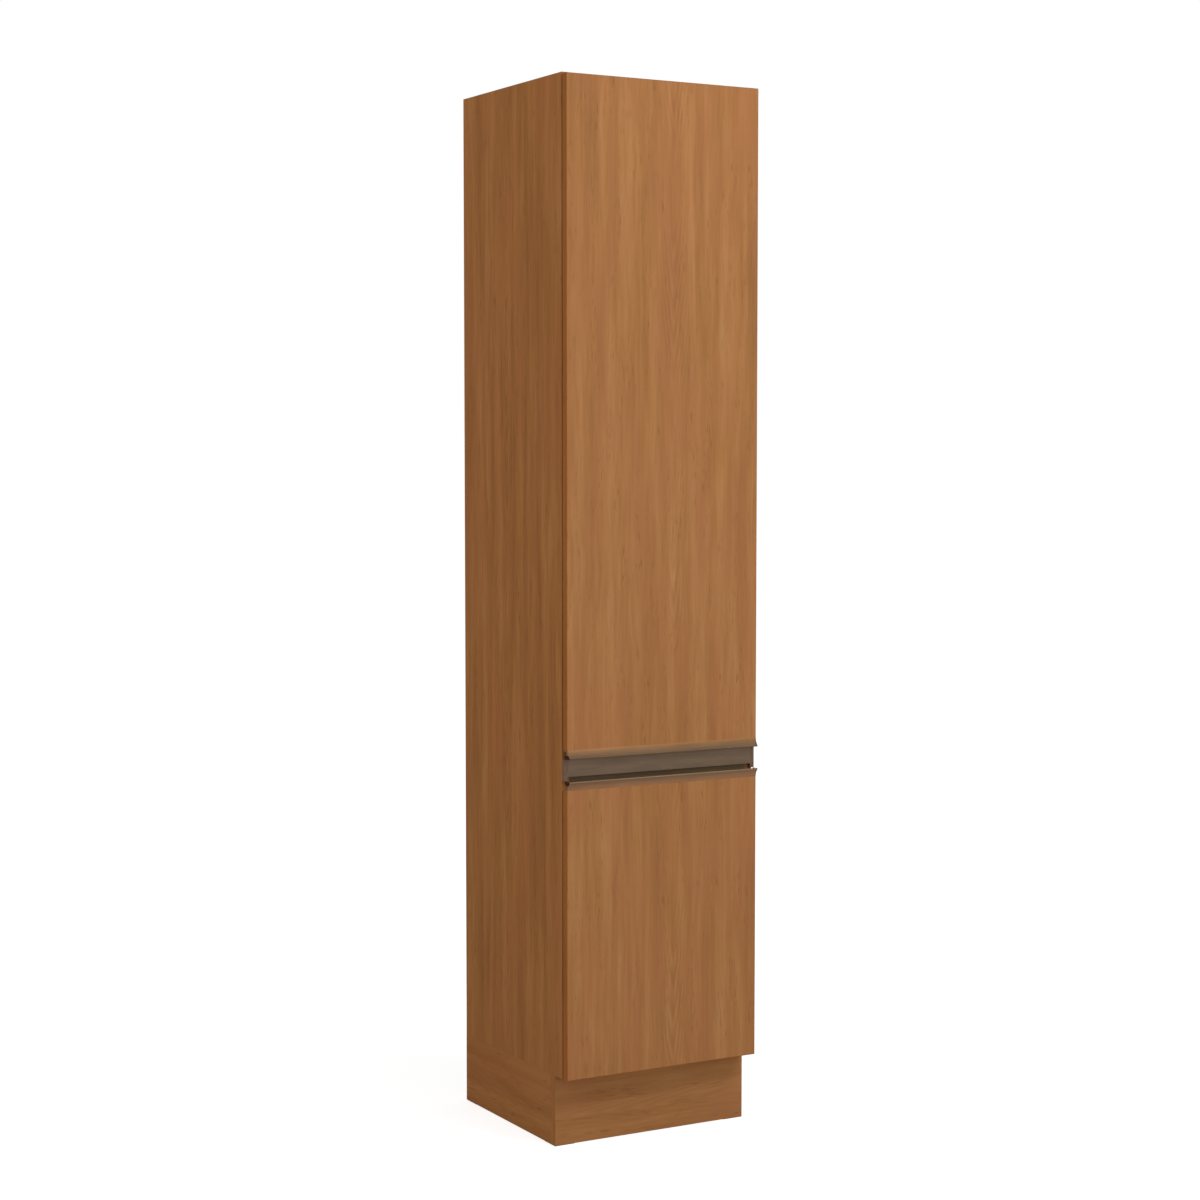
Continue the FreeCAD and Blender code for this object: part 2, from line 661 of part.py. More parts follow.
# ---------------------------------------------------------------- doors and grip profiles
# Each door is one board. A bronze aluminium extrusion covers the edge beside the finger
# recess: a web on the edge, a tongue in a sawn groove and a lip that curves out to the
# fingers. A dark plastic cap closes each end of it.
def grip_outlines(edge, outward):
    """Outlines of the extrusion and of its end cap; outward is +1 when the edge faces up and -1
    when it faces down."""
    def at(depth, rise):
        return (door_front + depth, edge + outward * rise)
    def on_cove(radius, angle):
        return at(radius * math.cos(angle) - cove_radius, radius * math.sin(angle))
    half_tongue = tongue_thickness / 2
    tip_radius = lip_thickness / 2
    # The cove leaves the door front flush and meets the lip's round tip without a break.
    tip_reach = lip_reach - tip_radius
    tip_rise = lip_height - tip_radius
    cove_radius = (tip_rise ** 2 + tip_reach ** 2 - tip_radius ** 2) / (2 * lip_reach)
    rear_radius = cove_radius + lip_thickness
    tip_angle = math.asin(tip_rise / (cove_radius + tip_radius))
    web_angle = math.asin(grip_web / rear_radius)
    tip_middle = at(-tip_reach - tip_radius * math.sin(tip_angle),
                    tip_rise + tip_radius * math.cos(tip_angle))
    lip = [
        at(0, 0),
        on_cove(cove_radius, tip_angle / 2) + on_cove(cove_radius, tip_angle),
        tip_middle + on_cove(rear_radius, tip_angle),
    ]
    profile = lip + [
        on_cove(rear_radius, (tip_angle + web_angle) / 2) + on_cove(rear_radius, web_angle),
        at(grip_web_depth, grip_web),
        at(grip_web_depth, 0),
        at(tongue_depth + half_tongue, 0),
        at(tongue_depth + half_tongue, -tongue_length),
        at(tongue_depth - half_tongue, -tongue_length),
        at(tongue_depth - half_tongue, 0),
    ]
    cap = lip + [
        at(end_cap_depth, rear_radius * math.sin(tip_angle)),
        at(end_cap_depth, lip_height - end_cap_nose),
        at(lip_thickness, lip_height - end_cap_nose),
        at(lip_thickness, end_cap_web),
        at(grip_web_depth, end_cap_web),
        at(grip_web_depth, 0),
    ]
    return profile, cap


def build_door(name, bottom, top, grip_edge, outward, hinge_count):
    lower = bottom + hinge_end_distance
    upper = top - hinge_end_distance
    tongue_cut = box(-door_half, door_half, door_front + tongue_depth - tongue_thickness / 2 - fit_gap,
                     door_front + tongue_depth + tongue_thickness / 2 + fit_gap,
                     min(grip_edge, grip_edge - outward * (tongue_length + touch_gap)),
                     max(grip_edge, grip_edge - outward * (tongue_length + touch_gap)))
    cups = []
    cup_pins = []
    cup_screws = []
    outer_links = []
    inner_links = []
    cuts = [tongue_cut]
    for level in spread(lower, upper, hinge_count):
        hinge_on_carcass(level)
        cup, pins, screws, holes = hinge_on_door(level)
        outer, inner = hinge_links(level)
        cups.append(cup)
        cup_pins.extend(pins)
        cup_screws.extend(screws)
        outer_links.extend(outer)
        inner_links.append(inner)
        cuts.extend(holes)
    door = box(-door_half, door_half, door_front, door_back, bottom, top).cut(cuts)
    profile_half = door_half - end_cap_thickness
    profile_outline, cap_outline = grip_outlines(grip_edge, outward)
    profile = extrude_x(profile_outline, -profile_half, profile_half)
    caps = [extrude_x(cap_outline, -door_half, -profile_half),
            extrude_x(cap_outline, profile_half, door_half)]
    save("door_" + name, [door])
    save("grip_profile_" + name, [profile])
    save("grip_end_caps_" + name, caps)
    save("hinge_cups_" + name, cups)
    save("hinge_cup_pins_" + name, cup_pins)
    save("hinge_cup_screws_" + name, cup_screws)
    save("hinge_outer_links_" + name, outer_links)
    save("hinge_inner_links_" + name, inner_links)


door_top = height - door_top_inset
build_door("upper", upper_door_bottom, door_top, upper_door_bottom, -1, upper_hinge_count)
build_door("lower", plinth_height, lower_door_top, lower_door_top, 1, lower_hinge_count)
save("hinge_plates", hinge_plates)
save("hinge_arms", hinge_arms)
save("hinge_plate_screws", plate_screws)
save("hinge_arm_screws", arm_screws)
save("hinge_arm_pins", arm_pins)

# ---------------------------------------------------------------- recess cover
# A shallow extrusion over the front edges of the rail and the side panels, with a tongue in
# the rail's groove. Moulded caps close its ends.
cover_face = door_front + cover_face_depth
cover_bottom = lower_lip_tip + cover_bottom_gap
cover_top = upper_lip_tip - cover_top_gap
cover_half = half_width - cover_cap_width
cover = box(-cover_half, cover_half, cover_face, carcass_front, cover_bottom, cover_top)
inside = box(-cover_half, cover_half, cover_face + cover_wall, carcass_front,
             cover_bottom + cover_wall, cover_top - cover_wall)
fins = box(-inner_half + touch_gap, inner_half - touch_gap, cover_face, carcass_front + tongue_length,
           grip_centre - tongue_thickness / 2, grip_centre + tongue_thickness / 2)
cover = cover.cut(inside).fuse(fins).removeSplitter()
front_edges = [edge for edge in cover.Edges
               if edge.BoundBox.YMax < cover_face + fit_gap and edge.Length > cover_half]
cover = cover.makeFillet(cover_wall / 2, front_edges)
save("recess_cover", [cover])
cover_caps = []
for side in (-1, 1):
    near = side * cover_half
    far = side * half_width
    cap = box(min(near, far), max(near, far), cover_face, carcass_front,
              cover_bottom - cover_cap_overhang, cover_top)
    front_edges = [edge for edge in cap.Edges
                   if edge.BoundBox.YMax < cover_face + fit_gap and edge.BoundBox.ZLength < fit_gap]
    cover_caps.append(cap.makeFillet(cover_wall / 2, front_edges))
save("recess_cover_caps", cover_caps)

# ---------------------------------------------------------------- door bumpers
bumpers = []
for level in (plinth_height + bumper_corner_distance, lower_door_top - bumper_corner_distance,
              upper_door_bottom + bumper_corner_distance, door_top - bumper_corner_distance):
    bumpers.append(rod((-half_width + board / 2, carcass_front, level), (0, -1, 0), bumper_radius,
                       door_gap - touch_gap))
save("door_bumpers", bumpers)

# ---------------------------------------------------------------- side panels
for node, low, high in (("side_panel_left", -half_width, -inner_half),
                        ("side_panel_right", inner_half, half_width)):
    panel = box(low, high, carcass_front, carcass_rear, plinth_height, height)
    near_groove = [low, low + groove_depth] if low > 0 else [high - groove_depth, high]
    panel_groove = box(*near_groove, *back_groove, plinth_height, height)
    own_cuts = [cut for cut in side_cuts if cut.BoundBox.Center.x * low > 0]
    save(node, [panel.cut([panel_groove] + own_cuts)])
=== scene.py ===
import math

import bmesh
import bpy
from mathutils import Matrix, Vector


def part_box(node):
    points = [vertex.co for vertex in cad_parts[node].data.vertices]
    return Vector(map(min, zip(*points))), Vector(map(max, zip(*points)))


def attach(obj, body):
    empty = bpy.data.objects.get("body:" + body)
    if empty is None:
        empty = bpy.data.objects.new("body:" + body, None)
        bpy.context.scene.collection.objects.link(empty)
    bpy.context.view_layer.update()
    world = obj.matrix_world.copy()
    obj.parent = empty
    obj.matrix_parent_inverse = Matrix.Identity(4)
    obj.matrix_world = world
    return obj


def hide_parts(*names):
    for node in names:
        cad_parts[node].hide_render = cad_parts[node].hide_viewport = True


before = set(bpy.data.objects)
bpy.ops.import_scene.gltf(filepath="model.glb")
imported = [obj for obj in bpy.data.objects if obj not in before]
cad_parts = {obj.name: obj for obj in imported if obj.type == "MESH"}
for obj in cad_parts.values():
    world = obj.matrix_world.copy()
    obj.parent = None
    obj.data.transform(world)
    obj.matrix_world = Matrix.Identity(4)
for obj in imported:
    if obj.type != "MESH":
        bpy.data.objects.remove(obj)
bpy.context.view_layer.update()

# ------------------------------------------------------------------ side panels
# Two upright sides of 15 mm chipboard with melamine wood print on both faces. ABS edging
# with the same print is glued to the front, top and rear edges and rounded by a cutter.
# The underside stays raw chipboard and stands on the plinth. The grain runs upright.
X, Y, Z = 0, 1, 2
MM = 0.001
EDGING = 1.0 * MM
EDGING_ROUND = 0.4 * MM
EDGING_SHARP_FROM = 40

# Corners nearer than this are one, and one nearer than this to a face lies on it. A face whose
# normal has this much of its length along an axis looks along it.
WELD = 0.001 * MM
TOUCH = 0.01 * MM
FACING = 0.99

# The print's colours, how deep each pattern goes, and how many times longer than wide its
# spots are. A shade multiplies the linear red, green and blue of all the colours. The growth
# rings' cones open by the taper, and their strip fades between two distances from its middle.
PRINT_DARK = "#8F613B"
PRINT_BODY = "#A16F43"
PRINT_PALE = "#B07F51"
PRINT_RED = "#A56B47"
PRINT_PORE = "#6E4528"
# The sides' shade is painted shade. It makes the print on the upright sides and on the plinth's sides
# deeper and warmer, for the weaker light that falls on the sides.
SIDE_PAINTED_SHADE = (1.0, 0.9, 0.74)
EDGING_SHADE = (0.97, 0.9, 0.76)
BAND_DEPTH = 0.42
FIBRE_DEPTH = 0.2
RING_DEPTH = 0.16
CLOUD_DEPTH = 0.34
PORE_DEPTH = 0.5
GRAIN_LENGTH = 16.0
GRAIN_WANDER = 2 * MM
RING_SPACING = 7 * MM
RING_CORE = 5 * MM
RING_TAPER = 0.12
RING_STRIP = 12 * MM
RING_STRIP_END = 40 * MM
CHIP_PALE = "#C6A479"
CHIP_DARK = "#8A6742"

# Nearly all values of a noise lie between these two.
NOISE_LOW, NOISE_HIGH = 0.3, 0.7


def linear(hex_colour):
    """An sRGB hex colour as linear RGBA."""
    values = [int(hex_colour[i:i + 2], 16) / 255 for i in (1, 3, 5)]
    return [v / 12.92 if v <= 0.04045 else ((v + 0.055) / 1.055) ** 2.4 for v in values] + [1.0]


def shaded(hex_colour, shade):
    """A colour whose linear red, green and blue are each multiplied by a factor."""
    return [min(1.0, value * factor) for value, factor in zip(linear(hex_colour), shade)] + [1.0]


def connect(tree, node, links):
    """Gives a node's inputs plain values, other nodes' outputs, or other nodes. An input goes by
    its name, or by its number where several have the same name."""
    for name, value in links.items():
        if isinstance(value, bpy.types.Node):
            value = next(output for output in value.outputs if output.enabled)
        if isinstance(value, bpy.types.NodeSocket):
            tree.links.new(value, node.inputs[name])
        else:
            node.inputs[name].default_value = value


def add(tree, kind, links=None, **settings):
    """Adds a node with its settings and links."""
    node = tree.nodes.new("ShaderNode" + kind)
    for name, value in settings.items():
        setattr(node, name, value)
    connect(tree, node, links or {})
    return node


def new_material(name):
    """A material, its node tree, its principled shader and the place on the piece."""
    material = bpy.data.materials.new(name)
    material.use_nodes = True
    tree = material.node_tree
    return material, tree, tree.nodes["Principled BSDF"], add(tree, "TexCoord").outputs["Object"]


def cells(tree, place, size_mm, offset=(0.0, 0.0, 0.0)):
    """The place on the piece, counted in cells of a real size along x, y and z."""
    return add(tree, "VectorMath", {0: place, 1: [1 / (s * MM) for s in size_mm], 2: offset},
               operation="MULTIPLY_ADD")


def wood_print(name, along, across, middle=0.0, figure=1.0, shade=(1.0, 1.0, 1.0), contrast=1.0):
    """Melamine paper printed as a reddish-brown wood and pressed satin. It shows soft bands,
    reddish and yellowish clouds, short dark pores in groups, and pointed growth rings in a
    strip at a middle across the board."""
    material, tree, shader, place = new_material(name)

    def drawn_out(at, width_mm, offset, length=GRAIN_LENGTH, **detail):
        """Noise whose spots have a real width and are drawn out along the grain."""
        size = [width_mm] * 3
        size[along] *= length
        return add(tree, "TexNoise", {"Vector": cells(tree, at, size, offset), "Scale": 1.0, **detail})

    # The grain wanders sideways on its way up the board.
    wander = drawn_out(place, width_mm=28, offset=(1.7, 4.4, 9.1), length=4.0)
    wander = add(tree, "MapRange", {"Value": wander, "From Min": NOISE_LOW, "From Max": NOISE_HIGH,
                                    "To Min": -GRAIN_WANDER, "To Max": GRAIN_WANDER})
    sideways = add(tree, "CombineXYZ", {across: wander})
    waved = add(tree, "VectorMath", {0: place, 1: sideways}, operation="ADD")

    # Growth rings are cones round the pith, so on a flat board they show as pointed arches. They
    # come and go along the strip.
    split = add(tree, "SeparateXYZ", {"Vector": waved})
    aside = add(tree, "Math", {0: split.outputs[across], 1: middle}, operation="SUBTRACT")
    square = add(tree, "Math", {0: aside, 1: aside, 2: RING_CORE ** 2}, operation="MULTIPLY_ADD")
    radius = add(tree, "Math", {0: square}, operation="SQRT")
    taper = add(tree, "Math", {0: split.outputs[along], 1: -RING_TAPER, 2: radius},
                operation="MULTIPLY_ADD")
    phase = add(tree, "Math", {0: taper, 1: 2 * math.pi / RING_SPACING}, operation="MULTIPLY")
    rings = add(tree, "Math", {0: phase}, operation="SINE")
    strip = add(tree, "MapRange", {"Value": radius, "From Min": RING_STRIP, "From Max": RING_STRIP_END,
                                   "To Min": RING_DEPTH * figure, "To Max": 0.0})
    patch = drawn_out(place, width_mm=60, offset=(6.3, 1.9, 2.4), length=3.0)
    patch = add(tree, "MapRange", {"Value": patch, "From Min": 0.38, "From Max": 0.55})
    strip = add(tree, "Math", {0: strip, 1: patch}, operation="MULTIPLY")
    rings = add(tree, "Math", {0: rings, 1: strip, 2: 0.5}, operation="MULTIPLY_ADD")

    # Bands, fibre and rings together run from the dark tone through the body's to the pale one.
    bands = drawn_out(waved, width_mm=24, offset=(3.1, 7.7, 1.3), length=20.0, Detail=3.0, Roughness=0.55)
    bands = add(tree, "MapRange", {"Value": bands, "From Min": 0.2, "From Max": 0.8,
                                   "To Min": -BAND_DEPTH * contrast, "To Max": BAND_DEPTH * contrast})
    fibre = drawn_out(waved, width_mm=5.5, offset=(4.0, 3.0, 6.0), Detail=2.0, Roughness=0.5)
    fibre = add(tree, "MapRange", {"Value": fibre, "From Min": 0.2, "From Max": 0.8,
                                   "To Min": -FIBRE_DEPTH * contrast, "To Max": FIBRE_DEPTH * contrast})
    tone = add(tree, "Math", {0: rings, 1: bands}, operation="ADD")
    tone = add(tree, "Math", {0: tone, 1: fibre}, operation="ADD")
    ramp = add(tree, "ValToRGB", {0: tone})
    stops = ramp.color_ramp.elements
    stops[0].color = shaded(PRINT_DARK, shade)
    stops[1].color = shaded(PRINT_PALE, shade)
    stops.new(0.5).color = shaded(PRINT_BODY, shade)
    clouds = drawn_out(waved, width_mm=70, offset=(8.2, 2.9, 5.5), length=3.6, Detail=1.0)
    clouds = add(tree, "MapRange", {"Value": clouds, "From Min": 0.42, "From Max": 0.6,
                                    "To Max": CLOUD_DEPTH})
    reddish = add(tree, "Mix", {"Factor": clouds, "A": ramp, "B": shaded(PRINT_RED, shade)},
                  data_type="RGBA")

    # Pores are really 0.2 mm wide; they are drawn about 1.5 mm wide so that they show.
    streak = drawn_out(waved, width_mm=1.9, offset=(5.0, 1.0, 2.0), length=14.0, Detail=1.0)
    groups = drawn_out(waved, width_mm=15, offset=(2.2, 6.1, 3.3), length=9.0, Detail=2.0)
    groups = add(tree, "MapRange", {"Value": groups, "From Min": 0.47, "From Max": 0.66})
    pores = add(tree, "MapRange", {"Value": streak, "From Min": 0.56, "From Max": 0.7,
                                   "To Max": PORE_DEPTH})
    pores = add(tree, "Math", {0: pores, 1: groups}, operation="MULTIPLY")
    printed = add(tree, "Mix", {"Factor": pores, "A": reddish, "B": shaded(PRINT_PORE, shade)},
                  data_type="RGBA")

    # The satin of the press plate leaves hardly any gloss, and the pores are pressed in.
    rough = add(tree, "MapRange", {"Value": streak, "From Min": NOISE_LOW, "From Max": NOISE_HIGH,
                                   "To Min": 0.5, "To Max": 0.6})
    bump = add(tree, "Bump", {"Height": pores, "Strength": 0.2, "Distance": 0.05 * MM}, invert=True)
    connect(tree, shader, {"Base Color": printed, "Roughness": rough, "IOR": 1.5,
                           "Specular IOR Level": 0.02, "Normal": bump})
    return material


def chipboard():
    """Sawn chipboard: glued softwood chips of 1 to 6 mm in pale and dark browns, dry and matt,
    with small open pits between the chips."""
    material, tree, shader, place = new_material("sawn_chipboard")
    chips = add(tree, "TexVoronoi", {"Vector": cells(tree, place, (2.4, 2.4, 2.4)), "Scale": 1.0})
    fine = add(tree, "TexNoise", {"Vector": cells(tree, place, (1.2, 1.2, 1.2)), "Scale": 1.0,
                                  "Detail": 2.0, "Roughness": 0.6})
    split = add(tree, "SeparateColor", {"Color": chips.outputs["Color"]})
    tone = add(tree, "Math", {0: split.outputs["Red"], 1: fine}, operation="MULTIPLY")
    shown = add(tree, "MapRange", {"Value": tone, "From Min": 0.05, "From Max": 0.6})
    mixed = add(tree, "Mix", {"Factor": shown, "A": linear(CHIP_DARK), "B": linear(CHIP_PALE)},
                data_type="RGBA")
    bump = add(tree, "Bump", {"Height": tone, "Strength": 0.6, "Distance": 0.3 * MM})
    connect(tree, shader, {"Base Color": mixed, "Roughness": 0.88, "IOR": 1.45, "Normal": bump})
    return material


def rounded(u0, u1, v0, v1, radii, steps=4):
    """A rectangle's outline with its own radius at each corner, from (u0, v0) round to (u0, v1)."""
    outline = []
    corners = ((u0, v0, 1, 1, 180), (u1, v0, -1, 1, 270), (u1, v1, -1, -1, 0), (u0, v1, 1, -1, 90))
    for (u, v, to_u, to_v, start), radius in zip(corners, radii):
        if radius == 0:
            outline.append((u, v))
            continue
        for step in range(steps + 1):
            angle = math.radians(start + 90 * step / steps)
            outline.append((u + to_u * radius + radius * math.cos(angle),
                            v + to_v * radius + radius * math.sin(angle)))
    return outline


def prism(shape, outline, axes, low, high):
    """Adds a solid to a bmesh: its outline lies in two axes and it runs along the third."""
    u, v, w = axes
    rings = []
    for end in (low, high):
        ring = []
        for a, b in outline:
            place = Vector((0.0, 0.0, 0.0))
            place[u], place[v], place[w] = a, b, end
            ring.append(shape.verts.new(place))
        rings.append(ring)
    faces = [shape.faces.new(rings[0]), shape.faces.new(rings[1])]
    for i in range(len(outline)):
        faces.append(shape.faces.new((rings[0][i], rings[0][i - 1], rings[1][i - 1], rings[1][i])))
    bmesh.ops.recalc_face_normals(shape, faces=faces)


def make_piece(name, shape, materials, body, sharp_from=None):
    """Turns a bmesh into a piece of the object that rides on its body. Where an angle in degrees
    is given, the piece is shaded smooth and only edges from that angle on stay sharp."""
    mesh = bpy.data.meshes.new(name)
    shape.to_mesh(mesh)
    shape.free()
    for material in materials:
        mesh.materials.append(material)
    if sharp_from is not None:
        mesh.shade_smooth()
        mesh.set_sharp_from_angle(angle=math.radians(sharp_from))
    piece = bpy.data.objects.new(name, mesh)
    bpy.context.scene.collection.objects.link(piece)
    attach(piece, body)
    return piece


def node_shape(node):
    """A bmesh of a node's solids, welded where its faces meet."""
    shape = bmesh.new()
    shape.from_mesh(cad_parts[node].data)
    bmesh.ops.remove_doubles(shape, verts=shape.verts, dist=WELD)
    return shape


def board(node, body, thick, face, strips, strip_material):
    """A board of chipboard with a print on its two faces and edging on the edges in strips,
    given as (axis, side). Holes, grooves and the other edges show the chipboard."""
    low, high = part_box(node)
    shape = node_shape(node)
    for axis, side in strips:
        edge = high[axis] if side > 0 else low[axis]
        for vert in shape.verts:
            if abs(vert.co[axis] - edge) < TOUCH:
                vert.co[axis] -= side * EDGING
    shape.normal_update()
    for part in shape.faces:
        level = part.calc_center_median()[thick]
        outside = min(abs(level - low[thick]), abs(level - high[thick])) < TOUCH
        printed = outside and abs(part.normal[thick]) > FACING
        part.material_index = 0 if printed else 1
    piece = make_piece(node + "_board", shape, [face, raw_chipboard], body)
    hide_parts(node)
    for axis, side in strips:
        run = ({X, Y, Z} - {axis, thick}).pop()
        if side > 0:
            end, corner, radii = "high", high, (0, EDGING_ROUND, EDGING_ROUND, 0)
        else:
            end, corner, radii = "low", low, (EDGING_ROUND, 0, 0, EDGING_ROUND)
        outer = corner[axis]
        inner = outer - side * EDGING
        outline = rounded(min(outer, inner), max(outer, inner), low[thick], high[thick], radii)
        strip = bmesh.new()
        prism(strip, outline, (axis, thick, run), low[run], high[run])
        make_piece(f"{node}_edging_{'xyz'[axis]}_{end}", strip, [strip_material], body,
                   EDGING_SHARP_FROM)
        # The next strip butts against the inner face of this one.
        corner[axis] = inner


raw_chipboard = chipboard()
# The print on the sides is made deeper and warmer by painted shade.
side_print_painted_shade = wood_print("satin_melamine_print_upright_sides_painted_shade", Z, Y, middle=0.03, shade=SIDE_PAINTED_SHADE,
                        contrast=1.25)
edge_print_upright = wood_print("abs_edging_print_upright", Z, X, figure=0.0, shade=EDGING_SHADE)
edge_print_level = wood_print("abs_edging_print_level", X, Z, figure=0.0, shade=EDGING_SHADE)
edge_print_deep = wood_print("abs_edging_print_deep", Y, X, figure=0.0, shade=EDGING_SHADE)

for node in ("side_panel_left", "side_panel_right"):
    board(node, "carcass", X, side_print_painted_shade, [(Z, 1), (Y, -1), (Y, 1)], edge_print_upright)

# ------------------------------------------------------------------ top, bottom and shelves
# Level boards of the same printed chipboard between the sides, with edging on the front edge.
# The top, the bottom and the hat shelf are fixed; one shelf lies loose on steel pins.
level_print = wood_print("satin_melamine_print_level", X, Y, middle=-0.04)

for node in ("top_panel", "bottom_panel", "hat_shelf", "adjustable_shelf"):
    board(node, "carcass", Z, level_print, [(Y, -1)], edge_print_level)

# ------------------------------------------------------------------ handle rail
# An upright rail of chipboard behind the finger recess, edged above and below. Its print is
# darkened and greyed as painted shade, for the slit under the recess cover. It ties the sides
# together, and the recess cover is pushed into a groove in its front.
RAIL_PAINTED_SHADE = (0.46, 0.72, 1.1)

rail_print_painted_shade = wood_print("satin_melamine_print_rail_painted_shade", X, Z, figure=0.0, shade=RAIL_PAINTED_SHADE)
board("handle_rail", "carcass", Y, rail_print_painted_shade, [(Z, -1), (Z, 1)], edge_print_level)

# ------------------------------------------------------------------ cam fittings and dowels
# Die-cast zinc cams sit flush in the boards and pull on steel bolts screwed into the sides.
# Brown polypropylene caps hide the cams that face the room, and beech dowels are glued in.
# The loose shelf's pins are turned from the same plated steel as the bolts.
ZINC_PALE = "#B9BCBD"
ZINC_DARK = "#8E9294"
STEEL = "#C4C6C5"
STEEL_DARK = "#9DA1A2"
BROWN_PLASTIC = "#7A5235"
MELT_DARK = 0.82
MELT_PALE = 1.15
GLOSS_SPREAD = 0.06
BEECH_PALE = "#D2A679"
BEECH_DARK = "#B98756"


def cast_zinc():
    """Die-cast zinc: grey metal with a dull grain from the mould, brighter on its high spots."""
    material, tree, shader, place = new_material("die_cast_zinc")
    grain = add(tree, "TexNoise", {"Vector": cells(tree, place, (0.7, 0.7, 0.7)), "Scale": 1.0,
                                   "Detail": 3.0, "Roughness": 0.6})
    shown = add(tree, "MapRange", {"Value": grain, "From Min": NOISE_LOW, "From Max": NOISE_HIGH})
    mixed = add(tree, "Mix", {"Factor": shown, "A": linear(ZINC_DARK), "B": linear(ZINC_PALE)},
                data_type="RGBA")
    rough = add(tree, "MapRange", {"Value": grain, "From Min": NOISE_LOW, "From Max": NOISE_HIGH,
                                   "To Min": 0.38, "To Max": 0.55})
    bump = add(tree, "Bump", {"Height": grain, "Strength": 0.3, "Distance": 0.03 * MM})
    connect(tree, shader, {"Base Color": mixed, "Metallic": 1.0, "Roughness": rough, "Normal": bump})
    return material


def plated_steel(name, pale, dark, low_rough, high_rough, marks_mm=(0.5, 0.5, 0.5)):
    """Pressed or turned steel with a thin bright plating: smooth, with faint rolling marks and
    the milky tone that the plating's passivated skin gives it."""
    material, tree, shader, place = new_material(name)
    marks = add(tree, "TexNoise", {"Vector": cells(tree, place, marks_mm), "Scale": 1.0,
                                   "Detail": 3.0, "Roughness": 0.55})
    clouds = add(tree, "TexNoise", {"Vector": cells(tree, place, (9, 9, 9)), "Scale": 1.0})
    shown = add(tree, "MapRange", {"Value": clouds, "From Min": NOISE_LOW, "From Max": NOISE_HIGH})
    mixed = add(tree, "Mix", {"Factor": shown, "A": linear(dark), "B": linear(pale)},
                data_type="RGBA")
    rough = add(tree, "MapRange", {"Value": marks, "From Min": NOISE_LOW, "From Max": NOISE_HIGH,
                                   "To Min": low_rough, "To Max": high_rough})
    bump = add(tree, "Bump", {"Height": marks, "Strength": 0.05, "Distance": 0.02 * MM})
    connect(tree, shader, {"Base Color": mixed, "Metallic": 0.7, "Roughness": rough, "Normal": bump})
    return material


def moulded_plastic(name, colour, rough, grain_mm, ior, second=None, near=0.0, far=1.0):
    """Moulded plastic: one dyed colour with a fine spark-eroded grain that scatters the
    highlight, and slight clouding where the melt flowed. The colour may turn into a second one
    between two heights."""
    material, tree, shader, place = new_material(name)
    flow = add(tree, "TexNoise", {"Vector": cells(tree, place, (12, 12, 12)), "Scale": 1.0})
    shown = add(tree, "MapRange", {"Value": flow, "From Min": NOISE_LOW, "From Max": NOISE_HIGH})
    mixed = add(tree, "Mix", {"Factor": shown, "A": shaded(colour, [MELT_DARK] * 3),
                              "B": shaded(colour, [MELT_PALE] * 3)}, data_type="RGBA")
    if second:
        height = add(tree, "SeparateXYZ", {"Vector": place}).outputs[Z]
        turned = add(tree, "MapRange", {"Value": height, "From Min": near, "From Max": far})
        mixed = add(tree, "Mix", {"Factor": turned, "A": mixed, "B": linear(second)},
                    data_type="RGBA")
    grain = add(tree, "TexNoise", {"Vector": cells(tree, place, (grain_mm,) * 3), "Scale": 1.0})
    spots = add(tree, "MapRange", {"Value": grain, "From Min": NOISE_LOW, "From Max": NOISE_HIGH,
                                   "To Min": rough - GLOSS_SPREAD, "To Max": rough + GLOSS_SPREAD})
    bump = add(tree, "Bump", {"Height": grain, "Strength": 0.3, "Distance": 0.03 * MM})
    connect(tree, shader, {"Base Color": mixed, "Roughness": spots, "IOR": ior,
                           "Specular IOR Level": 0.03, "Normal": bump})
    return material


def solid_beech(name, along):
    """Planed beech: pale pinkish wood with short dark flecks along the grain, left dry."""
    material, tree, shader, place = new_material(name)
    size = [1.0, 1.0, 1.0]
    size[along] = 12.0
    flecks = add(tree, "TexNoise", {"Vector": cells(tree, place, [0.8 * s for s in size]),
                                    "Scale": 1.0, "Roughness": 0.6})
    rings = add(tree, "TexNoise", {"Vector": cells(tree, place, [3.5 * s for s in size]),
                                   "Scale": 1.0})
    tone = add(tree, "Math", {0: flecks, 1: 0.4, 2: rings}, operation="MULTIPLY_ADD")
    shown = add(tree, "MapRange", {"Value": tone, "From Min": 0.45, "From Max": 0.95})
    mixed = add(tree, "Mix", {"Factor": shown, "A": linear(BEECH_DARK), "B": linear(BEECH_PALE)},
                data_type="RGBA")
    bump = add(tree, "Bump", {"Height": flecks, "Strength": 0.2, "Distance": 0.05 * MM})
    connect(tree, shader, {"Base Color": mixed, "Roughness": 0.7, "IOR": 1.45, "Normal": bump})
    return material


def finish_node(node, material):
    """Gives a CAD node that keeps its own shape its finish."""
    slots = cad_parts[node].data.materials
    slots.clear()
    slots.append(material)


bright_steel = plated_steel("zinc_plated_steel", STEEL, STEEL_DARK, low_rough=0.24, high_rough=0.36)
brown_cap = moulded_plastic("moulded_brown_polypropylene", BROWN_PLASTIC, rough=0.45, grain_mm=0.5,
                            ior=1.49)
finish_node("cam_housings", cast_zinc())
finish_node("cam_bolts", bright_steel)
finish_node("cam_cover_caps", brown_cap)
finish_node("dowels", solid_beech("turned_beech", X))
finish_node("shelf_pins", bright_steel)

# ------------------------------------------------------------------ back panels
# Two sheets of 3 mm hardboard slide into the grooves, printed on the inside and bare brown
# fibre on the outside. A brown extruded strip joins them where they meet.
FIBRE_PALE = "#8F6A47"
FIBRE_DARK = "#6B4A2F"
SCREEN_PITCH_MM = 3.0


